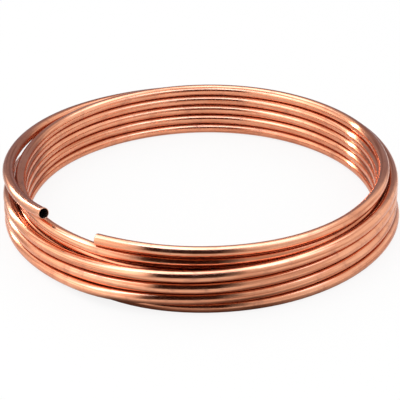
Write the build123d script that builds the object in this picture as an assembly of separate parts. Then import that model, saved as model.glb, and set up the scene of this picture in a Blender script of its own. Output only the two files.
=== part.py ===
from build123d import *
import math
import os

# Soft copper tube wound into a free-standing coil: two layers of turns round an open eye, lying on
# its flat side. The packed turns are one turned solid whose faces are scalloped by the tube. The
# top turn of each layer runs free to a straight, open tube end. Millimetres, axis on +Z, floor at 0.

# Tube
tube_od = 10.0
tube_wall = 0.7

# Winding
eye_diameter = 308.0        # clear opening inside the inner layer
layer_gap = 0.2             # clearance between the layers, in which the lifting turn goes by the inner one
inner_rows = 4              # whole rows of the inner layer, below its free top turn
outer_rows = 3              # whole rows of the outer layer, below its free top turn
groove_depth = 1.6          # depth of the groove between neighbouring rows
bedding = 0.5               # how far a free turn beds into the row that carries it

# Free top turn of the inner layer, from its cut end at the front left round to the left
inner_end_azimuth = 237.5
inner_end_straight = 26.0
inner_rise_angle = 120.0     # stretch that springs up off the row below before the cut end
inner_rise_lean = 1.3
inner_dip_azimuth = 150.0    # where the turn starts down into the row below
inner_dip_angle = 110.0

# Free top turn of the outer layer, from the front left round to its raised cut end at the left
outer_level_azimuth = 285.0  # where the turn has climbed out of the row below
outer_climb_angle = 45.0
outer_lift_azimuth = 60.0    # where the turn starts to lift off the coil
lift_lean = 3.3              # long bend that carries the turn up
lift_angle = 138.0
flick_lean = 23.0            # short bend that turns the end inward and up
flick_angle = 14.0
flick_radius = 90.0
outer_end_straight = 40.0

tube_radius = tube_od / 2
bore_radius = tube_radius - tube_wall
inner_radius = eye_diameter / 2 + tube_radius
outer_radius = inner_radius + tube_od + layer_gap
inner_top = tube_radius + inner_rows * tube_od - bedding
outer_top = tube_radius + outer_rows * tube_od - bedding


def winding_section():
    """Half section of the packed turns: one circle a tube, with the grooves filled to their depth."""
    fill = tube_radius - groove_depth
    with BuildSketch(Plane.XZ) as section:
        for radius, rows in ((inner_radius, inner_rows), (outer_radius, outer_rows)):
            heights = [tube_radius + row * tube_od for row in range(rows)]
            with Locations(*[(radius, height) for height in heights]):
                Circle(tube_radius)
            core_width = radius - inner_radius + 2 * fill
            core_height = heights[-1] - heights[0] + 2 * fill
            with Locations((inner_radius - fill, heights[0] - fill)):
                Rectangle(core_width, core_height, align=(Align.MIN, Align.MIN))
    return section.sketch


def on_turn(radius, height, azimuth, travel):
    """Place on a turn, with local Z along the travel (1 counter-clockwise, -1 clockwise), X inward."""
    outward = Vector(1, 0, 0).rotate(Axis.Z, azimuth)
    along = Vector(0, travel, 0).rotate(Axis.Z, azimuth)
    return Plane(outward * radius + Vector(0, 0, height), x_dir=-outward, z_dir=along).location


def bend(place, radius, angle, lean=0.0):
    """Tube bent to a radius from a place on, its plane leant about the tube; solid and end place."""
    leant = place * Rotation(0, 0, lean)
    solid = revolve(Circle(tube_radius), Axis((radius, 0, 0), (0, 1, 0)), angle)
    end = leant * Pos(radius, 0, 0) * Rotation(0, angle, 0) * Pos(-radius, 0, 0)
    return leant * solid, end


def open_end(place, length):
    """Straight tube end with its open bore."""
    return place * (extrude(Circle(tube_radius), length) - extrude(Circle(bore_radius), length))


def dip_lean(radius, angle):
    """Lean of a bend's plane that carries a free turn down into the row below over the bend's angle."""
    drop = tube_od - bedding
    return math.degrees(math.asin(drop / (radius * (1 - math.cos(math.radians(angle))))))


def inner_free_turn():
    """Top turn of the inner layer: up from the row below, once round, and off it to its cut end."""
    dip_start = on_turn(inner_radius, inner_top, inner_dip_azimuth, 1)
    dip, _ = bend(dip_start, inner_radius, inner_dip_angle, -dip_lean(inner_radius, inner_dip_angle))
    end_angle = math.degrees(math.atan(inner_end_straight / inner_radius))
    run_angle = (inner_dip_azimuth - inner_end_azimuth - end_angle - inner_rise_angle) % 360
    run, rise_start = bend(on_turn(inner_radius, inner_top, inner_dip_azimuth, -1), inner_radius, run_angle)
    rise, end = bend(rise_start, inner_radius, inner_rise_angle, -inner_rise_lean)
    return [dip, run, rise, open_end(end, inner_end_straight)]


def outer_free_turn():
    """Top turn of the outer layer: climbs out of the row below, runs round, lifts off and ends."""
    climb_start = on_turn(outer_radius, outer_top, outer_level_azimuth, -1)
    climb, _ = bend(climb_start, outer_radius, outer_climb_angle, dip_lean(outer_radius, outer_climb_angle))
    run_angle = (outer_lift_azimuth - outer_level_azimuth) % 360
    run, lift_start = bend(on_turn(outer_radius, outer_top, outer_level_azimuth, 1), outer_radius, run_angle)
    lift, flick_start = bend(lift_start, outer_radius, lift_angle, lift_lean)
    flick, end = bend(flick_start, flick_radius, flick_angle, flick_lean)
    return [climb, run, lift, flick, open_end(end, outer_end_straight)]


def copper_tube_coil():
    """The coil as one solid."""
    coil = revolve(winding_section(), Axis.Z)
    for stretch in inner_free_turn() + outer_free_turn():
        coil = coil + stretch
    return coil


os.makedirs("parts", exist_ok=True)
export_step(copper_tube_coil(), "parts/copper_tube_coil.step")
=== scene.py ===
import math

import bpy
import numpy as np
from mathutils import Matrix, Vector


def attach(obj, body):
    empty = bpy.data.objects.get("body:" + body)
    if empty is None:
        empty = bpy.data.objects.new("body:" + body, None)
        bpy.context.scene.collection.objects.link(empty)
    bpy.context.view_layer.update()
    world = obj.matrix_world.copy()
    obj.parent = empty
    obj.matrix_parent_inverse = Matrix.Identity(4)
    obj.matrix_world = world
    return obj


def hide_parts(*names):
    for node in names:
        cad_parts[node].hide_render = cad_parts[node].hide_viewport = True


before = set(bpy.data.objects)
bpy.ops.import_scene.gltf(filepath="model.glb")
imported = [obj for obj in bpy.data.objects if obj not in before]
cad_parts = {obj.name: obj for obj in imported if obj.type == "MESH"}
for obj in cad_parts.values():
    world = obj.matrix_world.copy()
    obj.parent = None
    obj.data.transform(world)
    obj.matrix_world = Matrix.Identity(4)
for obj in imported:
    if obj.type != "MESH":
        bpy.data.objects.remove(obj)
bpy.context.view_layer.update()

# The coil as one real length of hollow tube. Lengths are millimetres until the mesh is made. Angles are
# degrees: azimuth 0 is +X, the back is 90 and the front 270. The tube winds counter-clockwise, and its way
# is the azimuth counted on from turn to turn, from END_A at the first cut end to the last point of TAIL.
MM = 0.001
TUBE_RADIUS = 5.0
BORE_RADIUS = 4.3
INNER_RADIUS = 159.0        # mean radii of the layers
OUTER_RADIUS = 169.0
INNER_PITCH = 10.08         # drop of the inner layer in a turn
END_A = 238.0               # cut end of the inner layer, at the front left
END_A_STRAIGHT = 9.4        # azimuth that its straight last stretch covers
LAYER_CHANGE = (2015.0, 2056.0)     # way in which the tube crosses to the outer layer
SETTLED = LAYER_CHANGE[1] + 60      # way from which the outer layer is stacked on itself
OUTER_START = 2160.0        # where the outer layer lies on the floor, at the right
OUTER_LEVELS = (5.0, 15.6, 27.0, 37.4)
# How far each hand-wound layer is out of round: azimuth, offset of its radius
INNER_SHAPE = (
    (0, 0.6), (30, 0.4), (75, -0.2), (90, -0.7), (105, -1.5), (118, -1.8), (130, -1.5), (145, -1.1),
    (166, -1.7), (180, -1.0), (192, 0.3), (205, 0.3), (222, -0.6), (270, -0.1), (315, 0.4), (360, 0.6),
)
OUTER_SHAPE = (
    (0, 0.6), (15, 1.0), (35, 2.0), (60, 0.5), (90, -0.1), (150, 0.6), (185, 1.3), (205, -0.2),
    (225, -1.5), (245, -0.8), (258, 0.4), (270, 1.2), (290, 1.5), (310, 1.4), (325, 1.0), (360, 0.6),
)
# Height of the inner layer's first turn, from the cut end on: way, height
INNER_TURN = (
    (237, 50.2), (253, 50.3), (269, 50.1), (283, 49.6), (297, 48.5), (318, 47.3), (360, 46.6),
    (450, 45.4), (540, 43.0), (570, 41.6), (597, 40.12),
)
TOP_SPRING = 0.1            # the first turn stands this much off the one below
TOP_SPRING_GOES = (540, 600)    # way in which it settles
# Where a turn leans out of its layer: way, offset of its radius
LEAN = (
    (238, 1.1), (250, 0.9), (270, 0.9), (300, 1.2), (330, 1.9), (345, 2.3), (362, 2.4), (385, 1.8),
    (410, 0.8), (440, 0.0), (480, 0.0), (500, -1.0), (520, -1.0), (535, 0.0), (550, 0.6), (562, 2.0),
    (574, 4.2), (582, 5.0), (595, 4.0), (604, 1.8), (614, 0.4), (625, 0.0),
    (1640, 0.0), (1665, -1.2), (1680, -2.0), (1697, -1.2), (1720, 0.0),
    (2050, 0.0), (2070, 0.6), (2090, 1.2), (2110, 1.4), (2130, 1.8), (2145, 2.5), (2160, 1.6), (2175, 0.8),
    (2200, 0.0), (2395, 0.0), (2405, 4.2), (2413, 5.0), (2421, 4.6), (2430, 3.6), (2442, 2.4), (2455, 1.0),
    (2470, 0.0),
)
# How far the outer layer has climbed from a row to the next, off the floor and further up: azimuth, share
CLIMB_FLOOR = (
    (215, 0.0), (223, 0.03), (235, 0.09), (245, 0.42), (253, 0.76), (261, 0.93), (269, 0.965),
    (282, 0.98), (295, 1.0), (311, 1.0),
)
CLIMB = (
    (216, 0.0), (224, 0.02), (235, 0.18), (245, 0.33), (253, 0.46), (269, 0.61), (282, 0.76),
    (295, 0.88), (311, 1.0),
)
SIGHT_RISE = 0.545          # share of what a turn is pushed to the front by which it rises
# Rows above the crossing bulge to the front: azimuth, offset of their radius
BULGE = (
    (232, 0.0), (242, 2.0), (252, 4.4), (262, 4.6), (270, 4.2), (280, 3.4), (290, 1.7), (300, 0.6),
    (312, 0.0),
)
# Lifted tail of the outer layer: way, radius, height
TAIL = (
    (3240.0, 169.6, 37.4), (3255.0, 170.1, 37.4), (3267.0, 171.3, 37.5), (3277.0, 171.6, 37.6),
    (3287.0, 171.1, 37.8), (3300.0, 169.6, 38.0), (3330.0, 168.9, 39.0), (3352.0, 168.9, 40.2),
    (3366.0, 168.9, 41.6), (3376.0, 168.9, 43.3), (3386.0, 168.9, 44.7), (3396.0, 169.0, 46.2),
    (3409.0, 169.0, 48.0), (3418.0, 169.5, 49.2), (3424.0, 169.4, 50.0), (3430.0, 168.9, 50.6),
    (3434.5, 168.3, 51.1), (3439.0, 167.6, 51.2), (3443.5, 167.0, 51.5), (3449.0, 166.9, 53.5),
    (3454.0, 167.4, 55.7), (3459.2, 168.3, 58.5),
)
# Hand-wound tube is never quite true: size, waves in a turn, phase in radians
RADIUS_WOBBLE = ((0.12, 1.37, 0.4), (0.08, 2.71, 1.9))
HEIGHT_WOBBLE = (0.07, 1.83, 2.2)
OFF_FLOOR = TUBE_RADIUS + 1     # height above which a turn is free to wobble up and down
STEPS = 120                 # stations in a turn
SIDES = 32                  # faces round the tube
SMOOTHING = 1.9             # stations over which the line is evened out
CONTACT = 2 * TUBE_RADIUS + 0.02
STACKED = 0.9 * CONTACT     # turns nearer than this across lie one on the other
WINDING_PASSES = 4          # times that a turn is laid against those before it
GROOVE_SHADE_REACH = 2.4          # where a groove between turns is this open, its painted shade no longer darkens the copper
WALL, CUT, BORE = 0, 1, 2   # slots of the tube's materials
# A tube cutter rolls the lip in a little: distance back from the mouth, radius, slot
LIP = (
    (1.6, 5.0, WALL), (0.8, 4.98, WALL), (0.35, 4.92, WALL), (0.1, 4.82, CUT), (0.0, 4.68, CUT),
    (0.0, 4.44, CUT), (0.12, 4.32, BORE), (0.5, 4.28, BORE), (1.4, 4.30, BORE),
)
BORE_STRIDE = 2             # the bore takes every second station
TUBE_UV = "along_and_round"     # metres along the tube, share of the way round it


def ease(x, low, high):
    """Smooth step from 0 at low to 1 at high."""
    t = np.clip((np.asarray(x, float) - low) / (high - low), 0, 1)
    return t * t * (3 - 2 * t)


def through(table, x):
    """Straight lines through a table of pairs."""
    at, value = np.array(table, float).T
    return np.interp(x, at, value)


def blur(values, sigma):
    """Gaussian smoothing of a sequence, its ends carried on straight."""
    reach = int(4 * sigma)
    kernel = np.exp(-0.5 * (np.arange(-reach, reach + 1) / sigma) ** 2)
    first = 2 * values[0] - values[reach:0:-1]
    last = 2 * values[-1] - values[-2:-reach - 2:-1]
    return np.convolve(np.concatenate([first, values, last]), kernel / kernel.sum(), mode="valid")


def reach_over(gap):
    """How far a touching tube lies to one side when it lies this far to the other."""
    return math.sqrt(max(0.0, CONTACT ** 2 - gap ** 2))


def inner_height(way):
    """Height of the inner layer: down a row a turn to the floor, and along it."""
    first = INNER_TURN[0][0]
    turns = np.floor((way - first) / 360)
    height = through(INNER_TURN, way - 360 * turns) - INNER_PITCH * turns
    height = height + TOP_SPRING * (1 - ease(way, *TOP_SPRING_GOES))
    return np.maximum(height, TUBE_RADIUS)


def outer_height(way):
    """Height of the outer layer: level rows, each climbing to the next across the front."""
    height = np.full(len(way), OUTER_LEVELS[0])
    for row, (low, high) in enumerate(zip(OUTER_LEVELS, OUTER_LEVELS[1:])):
        start = OUTER_START + 360 * row
        rise = through(CLIMB if row else CLIMB_FLOOR, way - start)
        height = np.where(way >= start, low + (high - low) * rise, height)
    return height


def wind(way, radius, height):
    """Lay the turns against each other, in place, so that none runs through another."""
    change = int(np.searchsorted(way, LAYER_CHANGE[1]))
    # The inner layer is stacked from the floor up, each turn on the one below it
    for i in range(change - STEPS, -1, -1):
        gap = abs(radius[i] - radius[i + STEPS])
        if gap < STACKED:
            height[i] = max(height[i], height[i + STEPS] + reach_over(gap))
    # The outer layer is wound round what is already there, and stacked on itself
    for i in range(change, len(way)):
        free_radius, free_height = radius[i], height[i]
        for j in list(range(i - STEPS, -1, -STEPS)) * WINDING_PASSES:
            gap = abs(height[i] - height[j])
            if way[j] < SETTLED and gap < CONTACT:
                radius[i] = max(radius[i], radius[j] + reach_over(gap))
                rise = SIGHT_RISE * (radius[i] - free_radius) / abs(math.sin(math.radians(way[i])))
                height[i] = max(height[i], free_height + min(rise, TUBE_RADIUS))
        below = i - STEPS
        if way[below] > SETTLED:
            height[i] = max(height[i], height[below] + reach_over(radius[i] - radius[below]))


def centre_line():
    """Stations along the tube: way, radius and height."""
    end_b = TAIL[-1][0]
    way = np.append(np.arange(END_A, end_b - 180 / STEPS, 360 / STEPS), end_b)
    inner = INNER_RADIUS + through(INNER_SHAPE, way % 360)
    outer = OUTER_RADIUS + through(OUTER_SHAPE, way % 360)
    radius = inner + (outer - inner) * ease(way, *LAYER_CHANGE) + through(LEAN, way)
    height = np.where(way < LAYER_CHANGE[1], inner_height(way), outer_height(way))
    bulge = np.where(way > OUTER_START + 360, through(BULGE, way % 360), 0)
    radius, height = radius + bulge, height + SIGHT_RISE * bulge
    wind(way, radius, height)

    tail_way, tail_radius, tail_height = np.array(TAIL).T
    tail = way >= tail_way[0]
    radius = np.where(tail, np.interp(way, tail_way, tail_radius), radius)
    height = np.where(tail, np.interp(way, tail_way, tail_height), height)
    root = END_A + END_A_STRAIGHT
    radius = np.where(way < root, radius / np.cos(np.radians(np.minimum(way, root) - root)), radius)

    turn = np.radians(way)
    for size, waves, phase in RADIUS_WOBBLE:
        radius = radius + size * np.sin(waves * turn + phase)
    size, waves, phase = HEIGHT_WOBBLE
    height = height + size * np.sin(waves * turn + phase) * (height > OFF_FLOOR)
    return way, blur(radius, SMOOTHING), np.maximum(blur(height, SMOOTHING), TUBE_RADIUS)


def groove_shade_depth(ring, points, i):
    """How deep each point of a ring lies in a groove, which sets the painted shade between turns: 1 where it
    touches the next turn, 0 in the open.
    """
    others = np.array([j for j in range(i % STEPS, len(points), STEPS) if j != i])
    nearest = np.min(np.linalg.norm(ring[:, None] - points[others][None], axis=2), axis=1)
    return np.clip(1 - (nearest - TUBE_RADIUS) / GROOVE_SHADE_REACH, 0, 1)


def tube_mesh(name):
    """The tube as a closed surface: outer wall, rolled lip, bore, and the lip at the other end."""
    way, radius, height = centre_line()
    angle = np.radians(way)
    outward = np.stack([np.cos(angle), np.sin(angle), np.zeros_like(angle)], axis=1)
    points = outward * radius[:, None]
    points[:, 2] = height
    along = np.gradient(points, axis=0)
    along /= np.linalg.norm(along, axis=1)[:, None]
    side = outward - along * np.sum(outward * along, axis=1)[:, None]
    side /= np.linalg.norm(side, axis=1)[:, None]
    up = np.cross(side, along)
    length = np.concatenate([[0], np.cumsum(np.linalg.norm(np.diff(points, axis=0), axis=1))])

    # Rings of the surface in their order: centre, station of the line, radius, length along the tube, slot
    stations = []
    last = len(points) - 1
    for i in range(1, last):
        stations.append((points[i], i, TUBE_RADIUS, length[i], WALL))
    for back, lip_radius, slot in LIP:
        stations.append((points[last] - along[last] * back, last, lip_radius, length[last] - back, slot))
    for i in range(last - 1, 0, -BORE_STRIDE):
        stations.append((points[i], i, BORE_RADIUS, length[i], BORE))
    for back, lip_radius, slot in reversed(LIP):
        stations.append((points[0] + along[0] * back, 0, lip_radius, back, slot))

    turn = np.arange(SIDES) * 2 * math.pi / SIDES
    cosine, sine = np.cos(turn)[:, None], np.sin(turn)[:, None]
    rings = [at + r * (cosine * side[i] + sine * up[i]) for at, i, r, _, _ in stations]
    # How deep each point lies in a groove, for the painted shade between turns
    groove_shade = np.concatenate([groove_shade_depth(ring, points, i) for ring, (_, i, _, _, _) in zip(rings, stations)])
    total = len(stations)
    faces, slots, coordinates = [], [], []
    for k in range(total):
        after = (k + 1) % total
        _, _, _, low, slot = stations[k]
        _, _, _, high, next_slot = stations[after]
        low, high = low * MM, high * MM
        for s in range(SIDES):
            t = (s + 1) % SIDES
            faces.append((k * SIDES + s, after * SIDES + s, after * SIDES + t, k * SIDES + t))
            slots.append(CUT if CUT in (slot, next_slot) else slot)
            near, far = s / SIDES, (s + 1) / SIDES
            coordinates += [low, near, high, near, high, far, low, far]
    mesh = bpy.data.meshes.new(name)
    mesh.from_pydata((np.concatenate(rings) * MM).tolist(), [], faces)
    mesh.polygons.foreach_set("material_index", slots)
    mesh.polygons.foreach_set("use_smooth", [True] * len(faces))
    mesh.uv_layers.new(name=TUBE_UV).data.foreach_set("uv", coordinates)
    # Stored for the painted shade in the grooves between turns
    mesh.attributes.new("groove_shade", "FLOAT", "POINT").data.foreach_set("value", groove_shade)
    mesh.update()
    return mesh


# Colours of the copper
COPPER_DEEP, COPPER_PALE = (0.82, 0.345, 0.195), (0.93, 0.44, 0.265)
STREAK_BROWN = (0.46, 0.14, 0.065)
SMUDGE_BROWN = (0.42, 0.17, 0.11)
SPOT_BROWN = (0.32, 0.14, 0.09)
# Brown of the painted shade in the grooves between turns
GROOVE_SHADE_BROWN = (0.34, 0.075, 0.018)
CUT_DEEP, CUT_PALE = (0.62, 0.27, 0.16), (0.84, 0.45, 0.29)
OXIDE_DEEP, OXIDE_PALE = (0.030, 0.018, 0.016), (0.085, 0.045, 0.034)


def new_material(name):
    """Material with its nodes, links and shader."""
    material = bpy.data.materials.new(name)
    material.use_nodes = True
    nodes = material.node_tree.nodes
    return material, nodes, material.node_tree.links, nodes["Principled BSDF"]


def mix_colour(nodes, links, factor, first, second):
    """Colour mix node; each colour is a constant or a socket."""
    mix = nodes.new("ShaderNodeMix")
    mix.data_type = "RGBA"
    links.new(factor, mix.inputs["Factor"])
    for socket, colour in ((mix.inputs[6], first), (mix.inputs[7], second)):
        if isinstance(colour, tuple):
            socket.default_value = (*colour, 1)
        else:
            links.new(colour, socket)
    return mix.outputs[2]


def noise(nodes, links, vector, scale, detail, roughness=0.55):
    """Noise node, as a value of about 0.3 to 0.7."""
    node = nodes.new("ShaderNodeTexNoise")
    node.inputs["Scale"].default_value = scale
    node.inputs["Detail"].default_value = detail
    node.inputs["Roughness"].default_value = roughness
    links.new(vector, node.inputs["Vector"])
    return node.outputs["Fac"]


def remap(nodes, links, value, low, high, to_low, to_high):
    """Node that takes low to to_low and high to to_high, and stays there beyond them."""
    node = nodes.new("ShaderNodeMapRange")
    for key, number in zip(("From Min", "From Max", "To Min", "To Max"), (low, high, to_low, to_high)):
        node.inputs[key].default_value = number
    links.new(value, node.inputs["Value"])
    return node.outputs["Result"]


def stretched(nodes, links, vector, scale):
    """Mapping node that scales a vector."""
    node = nodes.new("ShaderNodeMapping")
    node.inputs["Scale"].default_value = scale
    links.new(vector, node.inputs["Vector"])
    return node.outputs["Vector"]


def stain(nodes, links, colour, value, low, high, most, brown):
    """Colour stained with a brown, from none where the value is low to the most where it is high."""
    return mix_colour(nodes, links, remap(nodes, links, value, low, high, 0, most), colour, brown)


def drawn_copper():
    """Bright drawn copper: draw lines along the tube, uneven tone, streaks, smudges, spots, and painted shade
    in the grooves between turns.
    """
    material, nodes, links, shader = new_material("drawn_copper")
    shader.inputs["Metallic"].default_value = 1.0
    uv = nodes.new("ShaderNodeUVMap")
    uv.uv_map = TUBE_UV
    place = nodes.new("ShaderNodeTexCoord").outputs["Object"]

    tone = noise(nodes, links, place, scale=26, detail=3)
    streak_place = stretched(nodes, links, uv.outputs["UV"], (9.0, 15.0, 1.0))
    streak = noise(nodes, links, streak_place, scale=1.0, detail=4, roughness=0.65)
    smudge = noise(nodes, links, place, scale=75, detail=5, roughness=0.65)
    spot = noise(nodes, links, place, scale=190, detail=2)
    # Depth in the grooves, which drives the painted shade between turns
    groove_shade = nodes.new("ShaderNodeAttribute")
    groove_shade.attribute_name = "groove_shade"

    pale = remap(nodes, links, tone, 0.35, 0.65, 0, 1)
    colour = mix_colour(nodes, links, pale, COPPER_DEEP, COPPER_PALE)
    colour = stain(nodes, links, colour, streak, 0.48, 0.64, 0.80, STREAK_BROWN)
    colour = stain(nodes, links, colour, smudge, 0.54, 0.72, 0.60, SMUDGE_BROWN)
    colour = stain(nodes, links, colour, spot, 0.70, 0.80, 0.45, SPOT_BROWN)
    # Painted shade: the copper turns dark brown where it lies in a groove against the next turn
    colour = stain(nodes, links, colour, groove_shade.outputs["Fac"], 0.0, 0.9, 0.80, GROOVE_SHADE_BROWN)
    links.new(colour, shader.inputs["Base Color"])

    base = remap(nodes, links, streak, 0.3, 0.7, 0.12, 0.20)
    dull = remap(nodes, links, smudge, 0.50, 0.80, 0.0, 0.14)
    add = nodes.new("ShaderNodeMath")
    links.new(base, add.inputs[0])
    links.new(dull, add.inputs[1])
    links.new(add.outputs[0], shader.inputs["Roughness"])

    # Drawing through a die leaves the surface smoother along the tube than round it
    shader.inputs["Anisotropic"].default_value = 0.8
    shader.inputs["Anisotropic Rotation"].default_value = 0.25
    tangent = nodes.new("ShaderNodeTangent")
    tangent.direction_type = "UV_MAP"
    tangent.uv_map = TUBE_UV
    links.new(tangent.outputs[0], shader.inputs["Tangent"])

    line_place = stretched(nodes, links, uv.outputs["UV"], (1.2, 60.0, 1.0))
    line = noise(nodes, links, line_place, scale=1.0, detail=3, roughness=0.6)
    bump = nodes.new("ShaderNodeBump")
    bump.inputs["Strength"].default_value = 0.25
    bump.inputs["Distance"].default_value = 0.00006
    links.new(line, bump.inputs["Height"])
    links.new(bump.outputs["Normal"], shader.inputs["Normal"])
    return material


def grained_copper(name, metallic, scale, detail, deep, pale, smooth, rough):
    """Copper whose colour and roughness both follow one fine noise."""
    material, nodes, links, shader = new_material(name)
    shader.inputs["Metallic"].default_value = metallic
    place = nodes.new("ShaderNodeTexCoord").outputs["Object"]
    grain = noise(nodes, links, place, scale, detail)
    links.new(mix_colour(nodes, links, grain, deep, pale), shader.inputs["Base Color"])
    links.new(remap(nodes, links, grain, 0.3, 0.7, smooth, rough), shader.inputs["Roughness"])
    return material


def cut_copper():
    """Fresh cut lip: paler and rougher, scored by the cutter."""
    return grained_copper("cut_copper", metallic=1.0, scale=900, detail=3, deep=CUT_DEEP, pale=CUT_PALE,
                          smooth=0.22, rough=0.38)


def bore_copper():
    """Inside of the tube, dull and dark with oxide."""
    return grained_copper("bore_copper", metallic=0.6, scale=240, detail=4, deep=OXIDE_DEEP, pale=OXIDE_PALE,
                          smooth=0.40, rough=0.60)


coil = bpy.data.objects.new("copper_tube", tube_mesh("copper_tube"))
bpy.context.scene.collection.objects.link(coil)
for material in (drawn_copper(), cut_copper(), bore_copper()):     # in the order of WALL, CUT and BORE
    coil.data.materials.append(material)
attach(coil, "root")
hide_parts("copper_tube_coil")

# Studio, in metres
WHITE = (1.0, 1.0, 1.0)
ON_FLOOR = 0.001            # height of a card that lies on the floor
# Leaning strip light that the right back rows show as an upright glare: azimuth and elevation from
# GLARE, cover. It is BURST_HALF_WIDTH wide to each side and 1 m away.
GLARE = Vector((0.141, 0.066, 0.030))
BURST = ((157, 2, 0.0), (156, 10, 0.8), (149.7, 24.3, 1.0), (143.2, 31, 1.0), (133, 36.6, 0.6), (126, 39, 0.0))
BURST_HALF_WIDTH = 0.080
# Shade on the floor along the foot of the front rows: azimuth, cover
FOOT = ((230, 0.0), (245, 1.0), (285, 1.0), (310, 0.4), (335, 0.0))
FOOT_INSIDE, FOOT_OUTSIDE = 0.165, 0.215
FLOOR_HALF = 6
FLOOR_GREY = (0.88, 0.88, 0.88, 1)
# Share of plain white that the floor shows to each kind of ray, over its own light and shadow
FLOOR_WHITE = (("Is Camera Ray", 0.86), ("Is Glossy Ray", 0.12), ("Is Transmission Ray", 0.12))


def sheet(name, rows, columns=((0.0, 1.0), (1.0, 1.0))):
    """Card through rows of left end, right end and cover; columns give share across and cover, 0 to 1."""
    vertices, faces, cover = [], [], []
    for left, right, row_cover in rows:
        for share, value in columns:
            vertices.append(Vector(left).lerp(Vector(right), share))
            cover.append(value * row_cover)
    wide = len(columns)
    for row in range(len(rows) - 1):
        for column in range(wide - 1):
            first = row * wide + column
            faces.append((first, first + 1, first + wide + 1, first + wide))
    mesh = bpy.data.meshes.new(name)
    mesh.from_pydata(vertices, [], faces)
    mesh.attributes.new("cover", "FLOAT", "POINT").data.foreach_set("value", cover)
    card = bpy.data.objects.new(name, mesh)
    bpy.context.scene.collection.objects.link(card)
    return card


def glow(name, level, tint):
    """Even light of one level, which fades out where the card's cover does."""
    material = bpy.data.materials.new(name)
    material.use_nodes = True
    nodes, links = material.node_tree.nodes, material.node_tree.links
    nodes.clear()
    output = nodes.new("ShaderNodeOutputMaterial")
    emission = nodes.new("ShaderNodeEmission")
    emission.inputs["Color"].default_value = (*tint, 1)
    emission.inputs["Strength"].default_value = level
    cover = nodes.new("ShaderNodeAttribute")
    cover.attribute_name = "cover"
    mix = nodes.new("ShaderNodeMixShader")
    links.new(cover.outputs["Fac"], mix.inputs[0])
    links.new(nodes.new("ShaderNodeBsdfTransparent").outputs[0], mix.inputs[1])
    links.new(emission.outputs[0], mix.inputs[2])
    links.new(mix.outputs[0], output.inputs["Surface"])
    return material


def studio_card(name, rows, level, columns, tint=WHITE):
    """Card that is seen only in the metal, as a softbox or a flag is in a studio."""
    card = sheet(name, rows, columns)
    card.data.materials.append(glow(name, level, tint))
    card.visible_camera = False
    card.visible_diffuse = False
    card.visible_shadow = False


def burst_rows():
    """Rows of the leaning strip light."""
    rows = []
    for azimuth, elevation, cover in BURST:
        azimuth, elevation = math.radians(azimuth), math.radians(elevation)
        level_way = Vector((math.cos(azimuth), math.sin(azimuth), 0))
        centre = GLARE + math.cos(elevation) * level_way + Vector((0, 0, math.sin(elevation)))
        aside = BURST_HALF_WIDTH * Vector((-level_way.y, level_way.x, 0))
        rows.append((centre + aside, centre - aside, cover))
    return rows


def foot_rows():
    """Rows of the shade along the foot, each from under the coil outward."""
    rows = []
    lift = Vector((0, 0, ON_FLOOR))
    for azimuth, cover in FOOT:
        outward = Vector((math.cos(math.radians(azimuth)), math.sin(math.radians(azimuth)), 0))
        rows.append((FOOT_INSIDE * outward + lift, FOOT_OUTSIDE * outward + lift, cover))
    return rows


# Bright bands on top of the front rows and of the back rows
studio_card("top_softbox", (
    ((-0.70, -0.230, 0.364), (0.55, -0.230, 0.364), 1.0),
    ((-0.70, -0.070, 0.364), (0.55, -0.070, 0.364), 1.0),
), level=3.8, columns=((0.0, 0.0), (0.2, 1.0), (0.7, 1.0), (1.0, 0.0)), tint=(0.78, 1.0, 1.30))
studio_card("ceiling", (
    ((-1.25, 0.10, 1.6), (1.25, 0.10, 1.6), 1.0),
    ((-1.25, 1.10, 1.6), (1.25, 1.10, 1.6), 1.0),
), level=3.0, columns=((0.0, 0.0), (0.15, 1.0), (0.85, 1.0), (1.0, 0.0)), tint=(0.85, 1.0, 1.15))
# Glare on the right back rows, and the highlights and fill of the left rows
studio_card("left_softbox", burst_rows(), level=26.0, columns=(
    (0.0, 0.0), (0.2, 0.1), (0.36, 0.2), (0.43, 1.0), (0.57, 1.0), (0.64, 0.2), (0.8, 0.1), (1.0, 0.0)))
studio_card("left_strip", (
    ((-1.39, 0.77, 0.0), (-1.22, 1.01, 0.0), 1.0),
    ((-1.39, 0.77, 1.5), (-1.22, 1.01, 1.5), 1.0),
), level=2.4, columns=((0.0, 0.0), (0.3, 1.0), (0.7, 1.0), (1.0, 0.0)))
studio_card("left_fill", (
    ((-1.30, 0.35, 0.0), (-0.95, -1.30, 0.0), 1.0),
    ((-1.30, 0.35, 1.5), (-0.95, -1.30, 1.5), 1.0),
), level=1.9, columns=((0.0, 0.0), (0.15, 1.0), (0.75, 1.0), (1.0, 0.0)))
# Dim surroundings that give the sides and the grooves their darker tones
studio_card("right_wall", (
    ((0.35, -1.35, 0.0), (1.35, -0.40, 0.0), 1.0),
    ((0.35, -1.35, 0.9), (1.35, -0.40, 0.9), 1.0),
), level=0.70, columns=((0.0, 1.0), (0.5, 1.0), (1.0, 0.0)))
studio_card("front_flag", (     # its last column lies past the right end
    ((-0.21, -0.25, 0.366), (0.15, -0.25, 0.366), 1.0),
    ((-0.85, -1.2, 0.366), (0.62, -1.2, 0.366), 1.0),
    ((-0.85, -1.2, 0.0), (0.62, -1.2, 0.0), 1.0),
), level=0.03, columns=((0.0, 0.0), (0.14, 1.0), (0.72, 1.0), (0.95, 0.15), (1.1, 0.0)), tint=(1.0, 0.4, 0.3))
studio_card("front_floor", (
    ((-0.55, -1.19, ON_FLOOR), (0.50, -1.19, ON_FLOOR), 0.16),
    ((-0.20, -0.22, ON_FLOOR), (0.18, -0.22, ON_FLOOR), 0.16),
), level=0.03, columns=((0.0, 0.0), (0.2, 1.0), (0.8, 1.0), (1.0, 0.0)))
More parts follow.
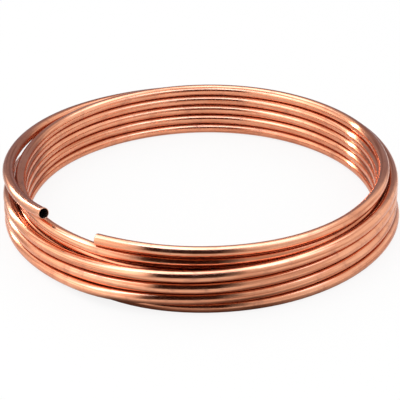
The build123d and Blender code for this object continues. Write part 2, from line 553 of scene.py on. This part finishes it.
studio_card("left_floor", (
    ((-0.62, 0.02, ON_FLOOR), (-0.20, -0.06, ON_FLOOR), 0.4),
    ((-0.62, 0.45, ON_FLOOR), (-0.20, 0.14, ON_FLOOR), 0.4),
), level=0.15, columns=((0.0, 0.0), (0.3, 1.0), (0.9, 1.0), (1.0, 0.6)))
studio_card("back_wall", (
    ((-0.80, 0.20, ON_FLOOR), (0.95, 0.20, ON_FLOOR), 0.6),
    ((-0.80, 0.30, ON_FLOOR), (0.95, 0.30, ON_FLOOR), 1.0),
    ((-0.80, 0.75, ON_FLOOR), (0.95, 0.75, ON_FLOOR), 1.0),
    ((-0.80, 0.75, 0.50), (0.95, 0.75, 0.50), 1.0),
    ((-0.80, 0.75, 0.80), (0.95, 0.75, 0.80), 0.0),
), level=0.32, columns=((0.0, 0.0), (0.07, 1.0), (0.83, 1.0), (1.0, 0.0)), tint=(1.0, 0.93, 1.10))
studio_card("foot_shade", foot_rows(), level=0.06, columns=((0.0, 1.0), (0.4, 0.9), (1.0, 0.0)),
            tint=(1.0, 0.5, 0.35))

floor = sheet("floor", (
    ((-FLOOR_HALF, -FLOOR_HALF, 0), (FLOOR_HALF, -FLOOR_HALF, 0), 1),
    ((-FLOOR_HALF, FLOOR_HALF, 0), (FLOOR_HALF, FLOOR_HALF, 0), 1),
))
material, nodes, links, shader = new_material("floor_white")
shader.inputs["Base Color"].default_value = FLOOR_GREY
shader.inputs["Roughness"].default_value = 0.9
shader.inputs["Specular IOR Level"].default_value = 0.0
path = nodes.new("ShaderNodeLightPath")
share = None
for ray, amount in FLOOR_WHITE:
    part = nodes.new("ShaderNodeMath")
    part.operation = "MULTIPLY_ADD"
    part.inputs[1].default_value = amount
    part.inputs[2].default_value = 0.0
    links.new(path.outputs[ray], part.inputs[0])
    if share:
        links.new(share, part.inputs[2])
    share = part.outputs[0]
white = nodes.new("ShaderNodeEmission")
blend = nodes.new("ShaderNodeMixShader")
links.new(share, blend.inputs[0])
links.new(shader.outputs[0], blend.inputs[1])
links.new(white.outputs[0], blend.inputs[2])
links.new(blend.outputs[0], nodes["Material Output"].inputs["Surface"])
floor.data.materials.append(material)

world = bpy.data.worlds.new("studio_white")
world.use_nodes = True
world.node_tree.nodes["Background"].inputs["Color"].default_value = (*WHITE, 1)
world.node_tree.nodes["Background"].inputs["Strength"].default_value = 1.0
bpy.context.scene.world = world

lamp = bpy.data.lights.new("soft_key", "AREA")
lamp.size = 1.2
lamp.energy = 6
key = bpy.data.objects.new("soft_key", lamp)
key.location = (-0.5, -0.3, 1.6)
key.rotation_euler = (Vector((0, 0, 0)) - key.location).to_track_quat("-Z", "Y").to_euler()
key.visible_glossy = False
bpy.context.scene.collection.objects.link(key)

# Camera fitted to the photograph, which is 400 pixels square; distance and target in millimetres
IMAGE = 400
FOCAL = 1807.0              # pixels
DISTANCE = 1617.0
ELEVATION = math.radians(28.62)
ROLL = math.radians(-0.84)
TARGET = Vector((-0.65, 0.0, 10.9))
forward = Vector((0, math.cos(ELEVATION), -math.sin(ELEVATION)))
level_right = Vector((1, 0, 0))
level_up = level_right.cross(forward)
right = math.cos(ROLL) * level_right + math.sin(ROLL) * level_up
above = math.cos(ROLL) * level_up - math.sin(ROLL) * level_right
camera_data = bpy.data.cameras.new("camera")
camera_data.sensor_width = 36.0
camera_data.lens = FOCAL / IMAGE * camera_data.sensor_width
camera_data.clip_start = 0.05
camera = bpy.data.objects.new("camera", camera_data)
turned = Matrix((right, above, -forward)).transposed().to_4x4()
camera.matrix_world = Matrix.Translation((TARGET - DISTANCE * forward) * MM) @ turned
bpy.context.scene.collection.objects.link(camera)
bpy.context.scene.camera = camera

bpy.context.scene.view_settings.view_transform = "Standard"

bpy.context.view_layer.update()
